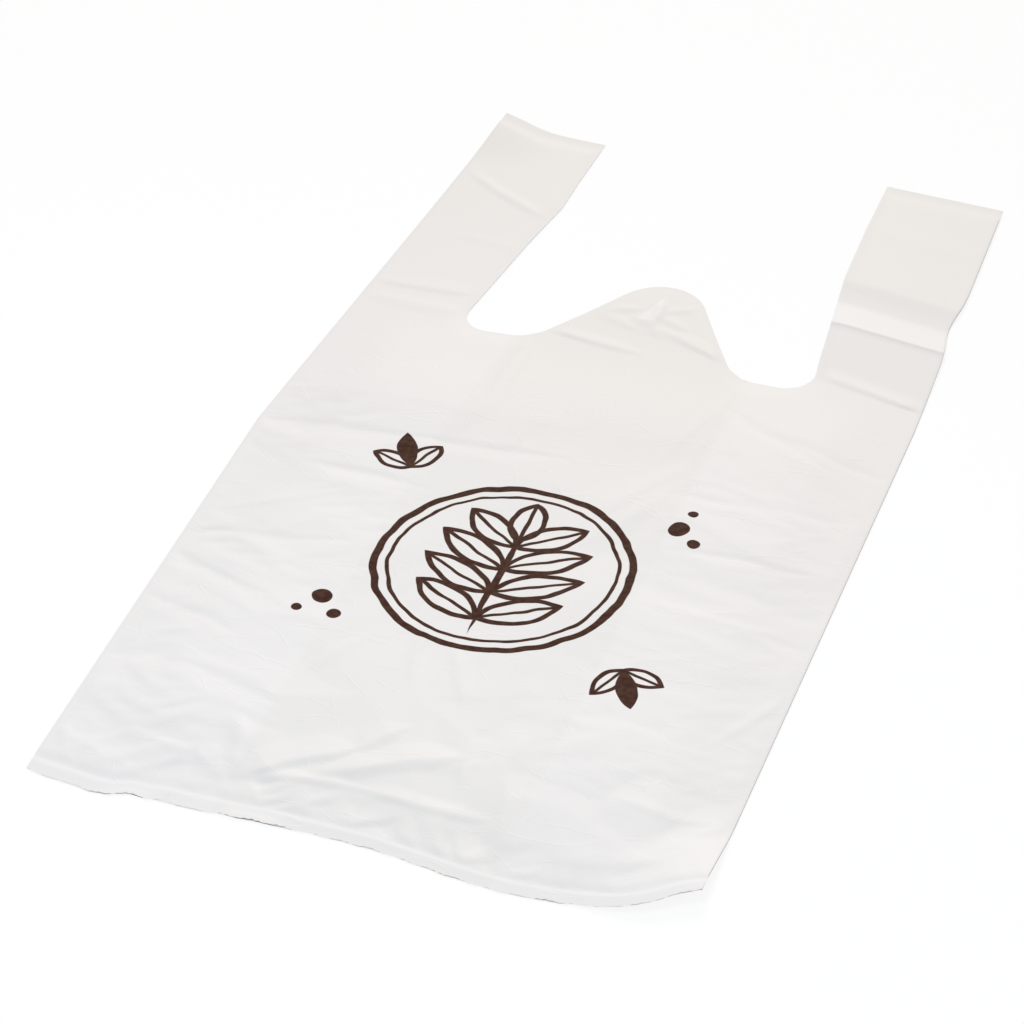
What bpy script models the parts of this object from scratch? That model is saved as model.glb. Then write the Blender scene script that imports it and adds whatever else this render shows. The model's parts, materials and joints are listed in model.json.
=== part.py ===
"""A plastic carrier bag of the vest kind, lying flat with its front up, in metres.

The bag is one piece of blown film. The film is a tube whose two sides are pleated inwards as
gussets, so that four layers lie over each other along both sides and two in the middle. A
weld across the bottom closes the tube, a weld across the top closes the straps, and one cut
through all the layers makes the mouth, with a rounded tongue between its two notches.

Film points are first given in the pattern: x runs across the bag from its left side, and y
runs up from the hem. The function laid then gives their place on the ground.
"""
import math

import bmesh
import bpy
from mathutils import Vector

# The bag as made
FACE_WIDTH = 0.300
GUSSET_DEPTH = 0.087
BAG_LENGTH = 0.540
FILM = 0.0003
LAYER_GAP = 0.0004

# The mouth
MOUTH_DEPTH = 0.180
STRAP_TOP_WIDTH = 0.0615
STRAP_ROOT_WIDTH = 0.0565
NOTCH_RADIUS = 0.015
NOTCH_FLOOR = 0.0115
TONGUE_HEIGHT = 0.063
TONGUE_RADIUS = 0.026
TONGUE_FOOT_RADIUS = 0.020
MOUTH_OVERRUN = 0.012

# The welds, with the film that is left outside them
HEM_SKIRT = 0.0055
TOP_SKIRT = 0.003
WELD_WIDTH = 0.0025
WELD_MARGIN = 0.0005

# How the bag lies: each strap leans inwards from its own height
LEFT_LEAN = math.radians(4.3)
LEFT_LEAN_START = 0.262
RIGHT_LEAN = math.radians(1.6)
RIGHT_LEAN_START = 0.345
LEAN_FADE_FROM = 0.060
LEAN_FADE_TO = 0.220

# The hem bows towards the viewer, far right of the middle and a little on the left, and its
# right corner draws up
RIGHT_BOW = 0.010
RIGHT_BOW_PLACE = 0.225
RIGHT_BOW_SPREAD = 0.058
LEFT_BOW = 0.0035
LEFT_BOW_PLACE = 0.034
LEFT_BOW_SPREAD = 0.020
HEM_CORNER_DRAW = 0.009
HEM_CORNER_REACH = 0.034
HEM_FADE = 0.110

# What lifts off the ground with all its layers
HEM_CORNER_LIFT = 0.006
HEM_CORNER_LIFT_REACH = 0.055
STRAP_TIP_LIFT = 0.004
STRAP_TIP_LIFT_REACH = 0.045
STRAP_TIP_DRAW = 0.002
RIDGE_HEIGHT = 0.008
RIDGE_PLACE = 0.427
RIDGE_STEEP_SIDE = 0.016
RIDGE_EASY_SIDE = 0.034

# The front layer alone: air under the middle of the bag, and the creases that stand up.
# A crease is a start and an end on the pattern, a height and a half width.
MIDDLE_LEVEL = 1.4
AIR_HEIGHT = 0.0022
AIR_MARGIN = 0.050
CREASES = {
    "pack fold, left half": ((0.006, 0.259), (0.140, 0.268), 0.0022, 0.010),
    "pack fold, second line": ((0.007, 0.232), (0.092, 0.232), 0.0012, 0.009),
    "fold over the left strap": ((0.004, 0.483), (0.058, 0.458), 0.0022, 0.010),
    "root of the left strap": ((0.002, 0.383), (0.056, 0.384), 0.0018, 0.009),
    "root of the right strap": ((0.243, 0.372), (0.298, 0.359), 0.0026, 0.009),
    "pucker on the tongue": ((0.138, 0.404), (0.163, 0.398), 0.0030, 0.009),
    "under the tongue, left": ((0.112, 0.379), (0.156, 0.366), 0.0022, 0.009),
    "under the tongue, right": ((0.166, 0.384), (0.193, 0.374), 0.0020, 0.009),
    "gusset edge showing, left": ((0.092, 0.340), (0.094, 0.150), 0.0009, 0.008),
    "gusset edge showing, right": ((0.213, 0.350), (0.212, 0.120), 0.0011, 0.008),
    "long lower fold": ((0.060, 0.052), (0.147, 0.071), 0.0052, 0.012),
    "lower fold, hem end": ((0.092, 0.022), (0.140, 0.040), 0.0042, 0.011),
    "lower fold, middle": ((0.140, 0.044), (0.200, 0.040), 0.0034, 0.011),
    "left hem facet": ((0.066, 0.012), (0.076, 0.048), 0.0036, 0.012),
    "right hem facet": ((0.205, 0.060), (0.236, 0.014), 0.0046, 0.012),
    "right hem arc": ((0.236, 0.016), (0.276, 0.024), 0.0024, 0.010),
    "short lower crease": ((0.254, 0.057), (0.282, 0.049), 0.0018, 0.009),
    "upright lower crease": ((0.176, 0.072), (0.181, 0.044), 0.0028, 0.010),
    "below the middle, left": ((0.126, 0.124), (0.136, 0.098), 0.0026, 0.010),
    "below the middle, right": ((0.150, 0.112), (0.166, 0.090), 0.0020, 0.010),
}

# The grid: columns across a gusset, across the middle in front and behind, and rows
GUSSET_COLUMNS = 6
FRONT_COLUMNS = 18
BACK_COLUMNS = 4
ROW_STEP = 0.0100
ARC_STEP = math.radians(15)

FILM_WHITE = (0.83, 0.815, 0.785, 1.0)
BACK, GUSSET_BACK, GUSSET_FRONT, FRONT = range(4)
LAYER_PITCH = FILM + LAYER_GAP
NOTCH_Y = BAG_LENGTH - MOUTH_DEPTH


def clear_scene():
    for thing in list(bpy.data.objects):
        bpy.data.objects.remove(thing, do_unlink=True)


def new_collection(name):
    collection = bpy.data.collections.new(name)
    bpy.context.scene.collection.children.link(collection)
    return collection


def film_material():
    """White blown polythene, matt with a weak shine."""
    material = bpy.data.materials.new("white_polythene_film")
    material.use_nodes = True
    shader = material.node_tree.nodes["Principled BSDF"]
    shader.inputs["Base Color"].default_value = FILM_WHITE
    shader.inputs["Roughness"].default_value = 0.45
    shader.inputs["Metallic"].default_value = 0.0
    return material


def eased(t):
    """A smooth step from 0 to 1 as t goes from 0 to 1."""
    t = min(max(t, 0.0), 1.0)
    return t * t * (3 - 2 * t)


def plan(x, y):
    """The place on the ground of the pattern's point x, y: straps lean, and the hem bows."""
    left = 1 - eased((x - LEAN_FADE_FROM) / (LEAN_FADE_TO - LEAN_FADE_FROM))
    right = eased((x - (FACE_WIDTH - GUSSET_DEPTH - LEAN_FADE_FROM)) / GUSSET_DEPTH)
    across = left * max(y - LEFT_LEAN_START, 0.0) * math.tan(LEFT_LEAN)
    across -= right * max(y - RIGHT_LEAN_START, 0.0) * math.tan(RIGHT_LEAN)
    near_hem = 1 - eased(y / HEM_FADE)
    bow = RIGHT_BOW * math.exp(-(((x - RIGHT_BOW_PLACE) / RIGHT_BOW_SPREAD) ** 2))
    bow += LEFT_BOW * math.exp(-(((x - LEFT_BOW_PLACE) / LEFT_BOW_SPREAD) ** 2))
    corner = eased((x - FACE_WIDTH + HEM_CORNER_REACH) / HEM_CORNER_REACH)
    along = near_hem * (HEM_CORNER_DRAW * corner - bow * (1 - corner))
    tip = max(0.0, 1 - x / STRAP_TOP_WIDTH) * eased((y - NOTCH_Y) / MOUTH_DEPTH)
    return x + across, y + along + STRAP_TIP_DRAW * tip


def lift(x, y):
    """How far all the layers stand off the ground together: corners, and the strap's ridge."""
    from_corner = math.hypot(x - FACE_WIDTH, y)
    height = HEM_CORNER_LIFT * (1 - eased(from_corner / HEM_CORNER_LIFT_REACH))
    from_tip = math.hypot(x, y - BAG_LENGTH)
    height += STRAP_TIP_LIFT * (1 - eased(from_tip / STRAP_TIP_LIFT_REACH))
    side = RIDGE_EASY_SIDE if y > RIDGE_PLACE else RIDGE_STEEP_SIDE
    ridge = 1 - min(abs(y - RIDGE_PLACE) / side, 1.0)
    on_strap = eased((x - FACE_WIDTH + GUSSET_DEPTH) / (GUSSET_DEPTH - STRAP_ROOT_WIDTH))
    return height + RIDGE_HEIGHT * ridge * on_strap


def crease_height(x, y, start, end, height, half_width):
    """A rounded ridge along the line from start to end, which dies out past both ends."""
    point = Vector((x, y))
    begin = Vector(start)
    run = Vector(end) - begin
    share = (point - begin).dot(run) / run.length_squared
    nearest = begin + run * min(max(share, 0.0), 1.0)
    return height * math.exp(-(((point - nearest).length / half_width) ** 2))


def relief(x, y):
    """How far the front layer alone stands above its stack: trapped air and creases."""
    from_side = min(x, FACE_WIDTH - x)
    from_end = min(y, NOTCH_Y - y)
    air = AIR_HEIGHT * eased(from_side / AIR_MARGIN) * eased(from_end / AIR_MARGIN)
    raised = sum(crease_height(x, y, *crease) for crease in CREASES.values())
    below_top = BAG_LENGTH - TOP_SKIRT - WELD_WIDTH - WELD_MARGIN - y
    from_weld = min(y - HEM_SKIRT - WELD_WIDTH - WELD_MARGIN, below_top)
    free = eased(from_weld / (2 * WELD_WIDTH)) * eased(from_side / (4 * WELD_WIDTH))
    return (air + raised) * free


def front_level(x):
    """The front's place in the stack: on the gussets at the sides, lower in between."""
    inside = min(x, FACE_WIDTH - x) - GUSSET_DEPTH
    return FRONT if inside < FILM else MIDDLE_LEVEL


def laid(x, y, level):
    """The place of a film point: its plan, and the height of its layer's middle."""
    plan_x, plan_y = plan(x, y)
    z = FILM / 2 + lift(x, y)
    if level == FRONT:
        z += front_level(x) * LAYER_PITCH + relief(x, y)
    else:
        z += level * LAYER_PITCH
    return Vector((plan_x, plan_y, z))


def steps(start, end, count):
    """Count evenly spaced values from start, which stop one step short of end."""
    return [start + (end - start) * i / count for i in range(count)]


def film_loop():
    """The tube's section, once around: (x, layer) at each column. It ends where it began."""
    left, right = GUSSET_DEPTH, FACE_WIDTH - GUSSET_DEPTH
    runs = (
        (BACK, 0.0, left, GUSSET_COLUMNS),
        (BACK, left, right, BACK_COLUMNS),
        (BACK, right, FACE_WIDTH, GUSSET_COLUMNS),
        (GUSSET_BACK, FACE_WIDTH, right, GUSSET_COLUMNS),
        (GUSSET_FRONT, right, FACE_WIDTH, GUSSET_COLUMNS),
        (FRONT, FACE_WIDTH, right, GUSSET_COLUMNS),
        (FRONT, right, left, FRONT_COLUMNS),
        (FRONT, left, 0.0, GUSSET_COLUMNS),
        (GUSSET_FRONT, 0.0, left, GUSSET_COLUMNS),
        (GUSSET_BACK, left, 0.0, GUSSET_COLUMNS),
    )
    loop = []
    for index, (layer, start, end, count) in enumerate(runs):
        loop += [(x, layer) for x in steps(start, end, count)]
        follower = runs[(index + 1) % len(runs)][0]
        if follower != layer:
            loop.append((end, layer))
    return loop + loop[:1]


def film_rows():
    """The rows of the grid, from the hem up: even ones, and one along each edge of a weld."""
    low = HEM_SKIRT + WELD_WIDTH + WELD_MARGIN
    high = BAG_LENGTH - TOP_SKIRT - WELD_WIDTH - WELD_MARGIN
    between = steps(low, high, round((high - low) / ROW_STEP))
    after = [high, BAG_LENGTH - TOP_SKIRT + WELD_MARGIN, BAG_LENGTH]
    return [0.0, HEM_SKIRT - WELD_MARGIN] + between + after


def link_mesh(name, bm, collection):
    mesh = bpy.data.meshes.new(name)
    bm.to_mesh(mesh)
    bm.free()
    thing = bpy.data.objects.new(name, mesh)
    collection.objects.link(thing)
    return thing


def folded_film(name, collection):
    """The whole tube: a flat grid, folded up and laid down, and joined along one edge.

    Each quad is halved along the same diagonal on the ground, so that stacked layers match.
    """
    loop = film_loop()
    rows = film_rows()
    columns, last_row = len(loop) - 1, len(rows) - 1
    bm = bmesh.new()
    bmesh.ops.create_grid(bm, x_segments=columns, y_segments=last_row, size=0.5)
    running_left = []
    for face in bm.faces:
        middle = face.calc_center_median()
        column = int((middle.x + 0.5) * columns)
        if loop[column + 1][0] < loop[column][0]:
            running_left.append(face)
    running_right = [face for face in bm.faces if face not in set(running_left)]
    for vertex in bm.verts:
        x, layer = loop[round((vertex.co.x + 0.5) * columns)]
        y = rows[round((vertex.co.y + 0.5) * last_row)]
        vertex.co = laid(x, y, layer)
    bmesh.ops.triangulate(bm, faces=running_left, quad_method="ALTERNATE")
    bmesh.ops.triangulate(bm, faces=running_right, quad_method="FIXED")
    bmesh.ops.remove_doubles(bm, verts=bm.verts, dist=FILM / 10)
    bmesh.ops.recalc_face_normals(bm, faces=bm.faces)
    film = link_mesh(name, bm, collection)
    wall = film.modifiers.new("film thickness", "SOLIDIFY")
    wall.thickness = FILM
    wall.offset = 0.0
    wall.use_even_offset = True
    return film


def weld_bar(name, y, collection):
    """The fused line of a weld: it fills the stack from the back's middle to the front's."""
    bm = bmesh.new()
    columns = 2 * GUSSET_COLUMNS + FRONT_COLUMNS
    bmesh.ops.create_grid(bm, x_segments=columns, y_segments=1, size=0.5)
    places = sorted({x for x, layer in film_loop() if layer == FRONT})
    spots = {}
    for vertex in bm.verts:
        x = places[round((vertex.co.x + 0.5) * columns)]
        spots[vertex] = (x, y + (vertex.co.y + 0.5) * WELD_WIDTH)
    raised = bmesh.ops.extrude_face_region(bm, geom=bm.faces[:])
    tops = [item for item in raised["geom"] if isinstance(item, bmesh.types.BMVert)]
    below = {(round(v.co.x, 6), round(v.co.y, 6)): spot for v, spot in spots.items()}
    for vertex in tops:
        x, place = below[(round(vertex.co.x, 6), round(vertex.co.y, 6))]
        vertex.co = laid(x, place, FRONT)
    for vertex, (x, place) in spots.items():
        vertex.co = laid(x, place, BACK)
    bmesh.ops.recalc_face_normals(bm, faces=bm.faces)
    return link_mesh(name, bm, collection)


def arc(centre, radius, start, end):
    """Points along an arc, from one angle to the other, both ends included."""
    count = max(2, math.ceil(abs(end - start) / ARC_STEP))
    turns = [start + (end - start) * i / count for i in range(count + 1)]
    return [(centre[0] + radius * math.cos(a), centre[1] + radius * math.sin(a)) for a in turns]


def mouth_half():
    """The left half of the cut, from above the strap's top down and up to the tongue's tip.

    The tongue's flank is the straight line that touches both its foot's arc and its tip's.
    """
    half_turn, quarter = math.pi, math.pi / 2
    notch = (STRAP_ROOT_WIDTH + NOTCH_RADIUS, NOTCH_Y + NOTCH_RADIUS)
    tip = (FACE_WIDTH / 2, NOTCH_Y + TONGUE_HEIGHT - TONGUE_RADIUS)
    foot = (notch[0] + NOTCH_FLOOR, NOTCH_Y + TONGUE_FOOT_RADIUS)
    rise, run = tip[1] - foot[1], tip[0] - foot[0]
    both = TONGUE_RADIUS + TONGUE_FOOT_RADIUS
    flank_angle = math.atan2(rise, run) + math.asin(both / math.hypot(rise, run))
    outline = [(STRAP_TOP_WIDTH, BAG_LENGTH + MOUTH_OVERRUN)]
    outline += [(STRAP_TOP_WIDTH, BAG_LENGTH)]
    outline += arc(notch, NOTCH_RADIUS, half_turn, half_turn + quarter)
    foot_end = half_turn + quarter + flank_angle
    outline += arc(foot, TONGUE_FOOT_RADIUS, half_turn + quarter, foot_end)
    outline += arc(tip, TONGUE_RADIUS, quarter + flank_angle, quarter)
    return outline


def mouth_cutter(collection):
    """The cut through all the layers, laid down as the film is."""
    left = mouth_half()
    right = [(FACE_WIDTH - x, y) for x, y in reversed(left[:-1])]
    below, above = -2 * RIDGE_HEIGHT, 3 * RIDGE_HEIGHT
    bm = bmesh.new()
    corners = [bm.verts.new((*plan(x, y), below)) for x, y in left + right]
    bm.faces.new(corners)
    raised = bmesh.ops.extrude_face_region(bm, geom=bm.faces[:])
    tops = [item for item in raised["geom"] if isinstance(item, bmesh.types.BMVert)]
    bmesh.ops.translate(bm, verts=tops, vec=(0.0, 0.0, above - below))
    bmesh.ops.recalc_face_normals(bm, faces=bm.faces)
    return link_mesh("mouth_cutter", bm, collection)


def add_boolean(thing, name, other, operation):
    modifier = thing.modifiers.new(name, "BOOLEAN")
    modifier.operation = operation
    modifier.solver = "EXACT"
    modifier.object = other
    other.hide_render = True
    other.display_type = "WIRE"


def centre_on_footprint(thing):
    """Puts the origin at the middle of the footprint, on the ground."""
    view = bpy.context.evaluated_depsgraph_get()
    corners = [Vector(corner) for corner in thing.evaluated_get(view).bound_box]
    middle_x = (min(c.x for c in corners) + max(c.x for c in corners)) / 2
    middle_y = (min(c.y for c in corners) + max(c.y for c in corners)) / 2
    return Vector((-middle_x, -middle_y, -min(c.z for c in corners)))


def main():
    clear_scene()
    bag_parts = new_collection("plastic_carrier_bag")
    tools = new_collection("cutters_and_welds")
    bag = folded_film("carrier_bag", bag_parts)
    bag.data.materials.append(film_material())
    hem = weld_bar("hem_weld", HEM_SKIRT, tools)
    top = weld_bar("top_weld", BAG_LENGTH - TOP_SKIRT - WELD_WIDTH, tools)
    mouth = mouth_cutter(tools)
    add_boolean(bag, "weld across the hem", hem, "UNION")
    add_boolean(bag, "weld across the top", top, "UNION")
    add_boolean(bag, "mouth cut", mouth, "DIFFERENCE")
    shift = centre_on_footprint(bag)
    for thing in (bag, hem, top, mouth):
        thing.location = shift
    bpy.context.view_layer.update()


main()
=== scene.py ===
# %% [markdown]
# # A vest carrier bag of thin white film
#
# A vest carrier starts as a tube of blown polythene. Its sides are pleated inwards as
# gussets, a weld closes the bottom, another closes the top, and one die cuts the mouth
# through every layer, which leaves two straps and a tongue. This notebook makes that bag as
# it lies on a table: flat, a little inflated in the middle, and crumpled towards the hem.
#
# The plan is to treat the bag as a sheet with two numbers on it. The first runs round the
# tube and the second runs up from the hem. Every shape below, from the gusset to the last
# wrinkle, is a function of those two numbers, worked out for the whole sheet at once.

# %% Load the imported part
import json
import math

import bpy
import numpy as np
from mathutils import Matrix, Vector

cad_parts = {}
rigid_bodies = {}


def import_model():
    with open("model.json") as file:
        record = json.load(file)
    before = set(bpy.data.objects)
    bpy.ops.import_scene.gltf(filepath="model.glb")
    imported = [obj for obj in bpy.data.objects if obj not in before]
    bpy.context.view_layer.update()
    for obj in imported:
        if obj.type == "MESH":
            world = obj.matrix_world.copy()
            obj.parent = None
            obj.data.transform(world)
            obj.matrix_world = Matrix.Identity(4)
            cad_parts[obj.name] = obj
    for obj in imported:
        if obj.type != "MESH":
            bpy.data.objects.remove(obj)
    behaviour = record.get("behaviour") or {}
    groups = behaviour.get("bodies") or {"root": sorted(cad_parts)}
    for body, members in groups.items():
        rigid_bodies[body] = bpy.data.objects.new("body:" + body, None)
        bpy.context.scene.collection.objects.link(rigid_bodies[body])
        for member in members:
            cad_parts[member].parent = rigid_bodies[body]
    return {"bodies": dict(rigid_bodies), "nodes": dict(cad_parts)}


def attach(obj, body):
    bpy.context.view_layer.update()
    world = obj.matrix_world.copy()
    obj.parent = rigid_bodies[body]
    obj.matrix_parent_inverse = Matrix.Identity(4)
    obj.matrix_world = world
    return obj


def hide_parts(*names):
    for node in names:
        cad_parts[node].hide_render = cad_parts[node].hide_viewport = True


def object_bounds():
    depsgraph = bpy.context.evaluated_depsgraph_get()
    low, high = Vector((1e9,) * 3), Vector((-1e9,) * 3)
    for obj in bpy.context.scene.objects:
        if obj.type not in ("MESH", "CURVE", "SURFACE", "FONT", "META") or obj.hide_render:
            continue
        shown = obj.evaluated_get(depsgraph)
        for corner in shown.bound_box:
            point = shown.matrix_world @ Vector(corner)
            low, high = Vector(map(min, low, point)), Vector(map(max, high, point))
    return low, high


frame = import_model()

for thing in [o for o in bpy.data.objects if o not in [*frame["nodes"].values(), *frame["bodies"].values()]]:
    bpy.data.objects.remove(thing)
cad_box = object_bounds()
CAD_LOW, CAD_HIGH = np.array(cad_box[0]), np.array(cad_box[1])
print("solid part, mm:", np.round((CAD_HIGH - CAD_LOW) * 1000, 1))

# %% [markdown]
# ## The bag as it is made
#
# A maker gives a vest carrier as "face width plus gussets by length". These are the sizes of
# the film before it is used, in metres. The flat tube is cut 948 mm round and 540 mm long.

# %% Sizes of the bag
FACE_WIDTH = 0.300
GUSSET_DEPTH = 0.087
BAG_LENGTH = 0.540
MOUTH_DEPTH = 0.180
NOTCH_Y = BAG_LENGTH - MOUTH_DEPTH
HEM_WELD_Y = 0.0068
TOP_WELD_Y = BAG_LENGTH - 0.0043
LAYER_PITCH = 0.0003


# %% A smooth step, used all through
def eased(t):
    """0 where t is below 0, 1 where it is above 1, and three t squared less two t cubed between."""
    t = np.clip(t, 0.0, 1.0)
    return t * t * (3.0 - 2.0 * t)


print("an eased step at five places from 0 to 1:", eased(np.linspace(0, 1, 5)).round(2))

# %% [markdown]
# ## The mouth
#
# The die cuts a wide U into the top of the flat tube. Each end of the U is a round notch, so
# that the film doesn't tear there, and the middle is left as a tongue, by which the bags of a
# pack hang. The cut could be made with a Boolean, but that leaves ragged triangles along it.
# Here the grid follows the cut instead: a strap's columns end at its inner edge, and the
# tongue's rows end at its rounded outline.

# %% Sizes of the mouth
STRAP_ROOT = 0.0565
NOTCH_RADIUS = 0.015
NOTCH_FLOOR = 0.0115
TONGUE_HEIGHT = 0.064
TONGUE_RADIUS = 0.028
TONGUE_FOOT_RADIUS = 0.020
NOTCH_X = STRAP_ROOT + NOTCH_RADIUS
FOOT_X = NOTCH_X + NOTCH_FLOOR

# Inner edge of each strap, as heights and widths: both have been pulled a little wide half way
LEFT_STRAP_EDGE = (
    (0.375, 0.400, 0.438, 0.476, 0.500, 0.540),
    (0.0565, 0.0577, 0.0593, 0.0622, 0.0606, 0.0590))
RIGHT_STRAP_EDGE = (
    (0.375, 0.385, 0.420, 0.440, 0.460, 0.500, 0.540),
    (0.0565, 0.0576, 0.0599, 0.0619, 0.0631, 0.0632, 0.0622))


def strap_width(y, edge):
    """Width of a strap at height y.

    Within the notch it follows the notch's circle, and above it the points of the edge.
    """
    drop = np.clip(NOTCH_RADIUS - (y - NOTCH_Y), 0.0, NOTCH_RADIUS)
    in_notch = NOTCH_X - np.sqrt(NOTCH_RADIUS**2 - drop**2)
    above = np.interp(y, *edge)
    return np.where(y < NOTCH_Y + NOTCH_RADIUS, in_notch, above)


def tongue_flank():
    """The angle of the straight flank that touches both the foot's arc and the tip's.

    It is the angle of the line between their centres, plus the angle whose sine is the sum of
    the two radii over the length of that line.
    """
    rise = (TONGUE_HEIGHT - TONGUE_RADIUS) - TONGUE_FOOT_RADIUS
    run = FACE_WIDTH / 2 - FOOT_X
    both = TONGUE_RADIUS + TONGUE_FOOT_RADIUS
    return math.atan2(rise, run) + math.asin(both / math.hypot(rise, run))


def tongue_top(x):
    """Height of the cut over the tongue at x: a foot arc, a straight flank and a tip arc.

    Each arc is a radius less, or plus, the root of radius squared less distance squared.
    """
    from_foot = np.maximum(np.minimum(x, FACE_WIDTH - x) - FOOT_X, 0)
    from_tip = FACE_WIDTH / 2 - FOOT_X - from_foot
    angle = tongue_flank()
    foot = TONGUE_FOOT_RADIUS - np.sqrt(np.clip(TONGUE_FOOT_RADIUS**2 - from_foot**2, 0, None))
    tip = TONGUE_HEIGHT - TONGUE_RADIUS + np.sqrt(np.clip(TONGUE_RADIUS**2 - from_tip**2, 0, None))
    foot_end = TONGUE_FOOT_RADIUS * math.sin(angle)
    flank = TONGUE_FOOT_RADIUS * (1 - math.cos(angle)) + (from_foot - foot_end) * math.tan(angle)
    at_tip = from_tip < TONGUE_RADIUS * math.sin(angle)
    rise = np.where(from_foot < foot_end, foot, np.where(at_tip, tip, flank))
    return NOTCH_Y + np.maximum(rise, 0.0)


def from_cut(x, y):
    """Distance from the die's cut: the notch's arc, a strap's edge, or the tongue's top above."""
    from_side = np.minimum(x, FACE_WIDTH - x)
    is_left = x < FACE_WIDTH / 2
    edge = np.where(is_left, strap_width(y, LEFT_STRAP_EDGE), strap_width(y, RIGHT_STRAP_EDGE))
    arc = np.hypot(NOTCH_X - from_side, NOTCH_Y + NOTCH_RADIUS - y) - NOTCH_RADIUS
    strap = np.where(y > NOTCH_Y + NOTCH_RADIUS, edge - from_side, arc)
    return np.where(from_side < NOTCH_X, strap, tongue_top(x) - y)


print(f"tongue's flank at {math.degrees(tongue_flank()):.1f} degrees")

# %% [markdown]
# ## How the bag lies: the plan
#
# Film points start in the pattern, where x runs across from the left side and y runs up from
# the hem. On the table the straps lean inwards, the hem bows, and its right corner is drawn
# up. The hem also ruffles, because the film outside the weld is free. A few numbers give
# those shifts, and an eased step fades each one out.

# %% The hem's line, and the lean of the straps
HEM_X = (
    0.0, 0.010, 0.020, 0.030, 0.040, 0.047, 0.057, 0.066, 0.076, 0.094, 0.112, 0.140, 0.158,
    0.167, 0.186, 0.205, 0.214, 0.223, 0.240, 0.257, 0.265, 0.273, 0.281, 0.288, 0.295, 0.300)
HEM_Y = (
    0.0, -0.0027, -0.0031, -0.0048, -0.0052, -0.0018, -0.0023, -0.0008, -0.0022, -0.0016,
    -0.0009, -0.0011, -0.0016, -0.0030, -0.0058, -0.0085, -0.0093, -0.0095, -0.0083, -0.0066,
    -0.0057, -0.0037, -0.0006, 0.0047, 0.0090, 0.0120)
LEFT_LEAN = math.radians(5.0)
RIGHT_LEAN = math.radians(1.6)

# Shift of the straps' ends along the bag: the left one's outer corner is curled over from a kink
END_X = (0.0, 0.0255, 0.0590, 0.1500, 0.2380, 0.3000)
END_Y = (0.0081, -0.0014, -0.0032, 0.0, 0.0017, -0.0025)


def bell(t):
    """1 where t is 0, falling smoothly to nothing either way: e to the power of minus t squared."""
    return np.exp(-(t**2))


def hem_bow(x):
    """The slow part of the hem's line: two bows towards the viewer, and the drawn-up corner.

    A bow is a bell curve: its height times e to the power of minus the squared distance from
    its middle, in widths of the bell.
    """
    bow = 0.0100 * bell((x - 0.225) / 0.058) + 0.0035 * bell((x - 0.034) / 0.020)
    corner = eased((x - 0.266) / 0.034)
    return 0.009 * corner - bow * (1 - corner)


def plan(x, y):
    """Place on the table of the pattern's point x, y, before the object is centred.

    A lean shifts a point sideways by its height above the bend times the angle's tangent. The
    last terms are the hem, the straps' ends, a dent at the left notch, a waist at the fold
    of the right strap, and the ragged edge that the bag maker's knife leaves.
    """
    left = 1 - eased((x - 0.060) / 0.160)
    right = eased((x - 0.153) / GUSSET_DEPTH)
    across = left * (np.maximum(y - 0.262, 0) * math.tan(LEFT_LEAN) - 0.0024)
    across -= right * np.maximum(y - 0.345, 0) * math.tan(RIGHT_LEAN)
    slow = hem_bow(x)
    ruffle = np.interp(x, HEM_X, HEM_Y) - slow
    along = (1 - eased(y / 0.110)) * slow + (1 - eased(y / 0.016)) * ruffle
    along += eased((y - 0.44) / 0.10) * np.interp(x, END_X, END_Y)
    along += 0.0022 * bell((x - 0.088) / 0.028) * bell((y - 0.362) / 0.035)
    waist = bell((y - 0.430) / 0.016) * eased((x - 0.240) / 0.060)
    ragged = (1 - eased(y / 0.007)) * 0.0007 * np.sin(x * 640) * np.sin(x * 1110 + 1)
    return x + across - 0.0030 * waist, y + along + ragged


print(f"the hem bows {-min(HEM_Y) * 1000:.1f} mm out, and its right corner is {HEM_Y[-1] * 1000:.0f} mm up")

# %% [markdown]
# ## What stands off the table with all its layers
#
# The right strap was folded across for packing and still stands up a little there, with a
# steep side and an easy one. The lower right corner and the tip of the left strap curl up
# too. These heights are added to every layer alike, so the layers can't cross here.

# %% Lift of the whole stack
# The fold over the right strap, as places up the bag and heights: from the root upwards it
# climbs at once, runs down the easy way, and dips before the strap's end
FOLD_Y = (0.0000, 0.3720, 0.4000, 0.4084, 0.4106, 0.4128, 0.4310, 0.4400, 0.4490, 0.4750, 0.5400)
FOLD_Z = (0.0000, 0.0000, 0.0013, 0.0017, 0.0019, 0.0023, 0.0001, 0.0005, 0.0012, 0.0010, 0.0008)
FOLD_SLANT = 0.16
FOLD_X = 0.270


def lift(x, y):
    """Height of the lowest layer: eased bumps at two corners, and the fold's profile.

    The fold crosses the strap aslant: its place up the bag drops by 0.16 of the way across.
    """
    corner = 0.006 * (1 - eased(np.hypot(x - FACE_WIDTH, y) / 0.055))
    tip = 0.0020 * (1 - eased(np.hypot(x, y - BAG_LENGTH) / 0.045))
    on_strap = eased((x - 0.213) / 0.0305)
    return corner + tip + on_strap * np.interp(y + FOLD_SLANT * (x - FOLD_X), FOLD_Y, FOLD_Z)


print(f"the fold over the right strap stands {max(FOLD_Z) * 1000:.1f} mm high")

# %% [markdown]
# ## Crumple
#
# Crumpled film is a patchwork of small flat facets that meet in sharp creases. Random heights
# at the corners of a lattice of triangles give just that when each triangle is left flat. The
# lattice is slanted and bent by smooth noise, so that its order doesn't show, and one that
# is long one way gives long thin wrinkles. Each random table has a fixed seed, so the bag is
# crumpled the same way every time.

# %% Smooth noise and facets
KNOTS = (61, 67)


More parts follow.
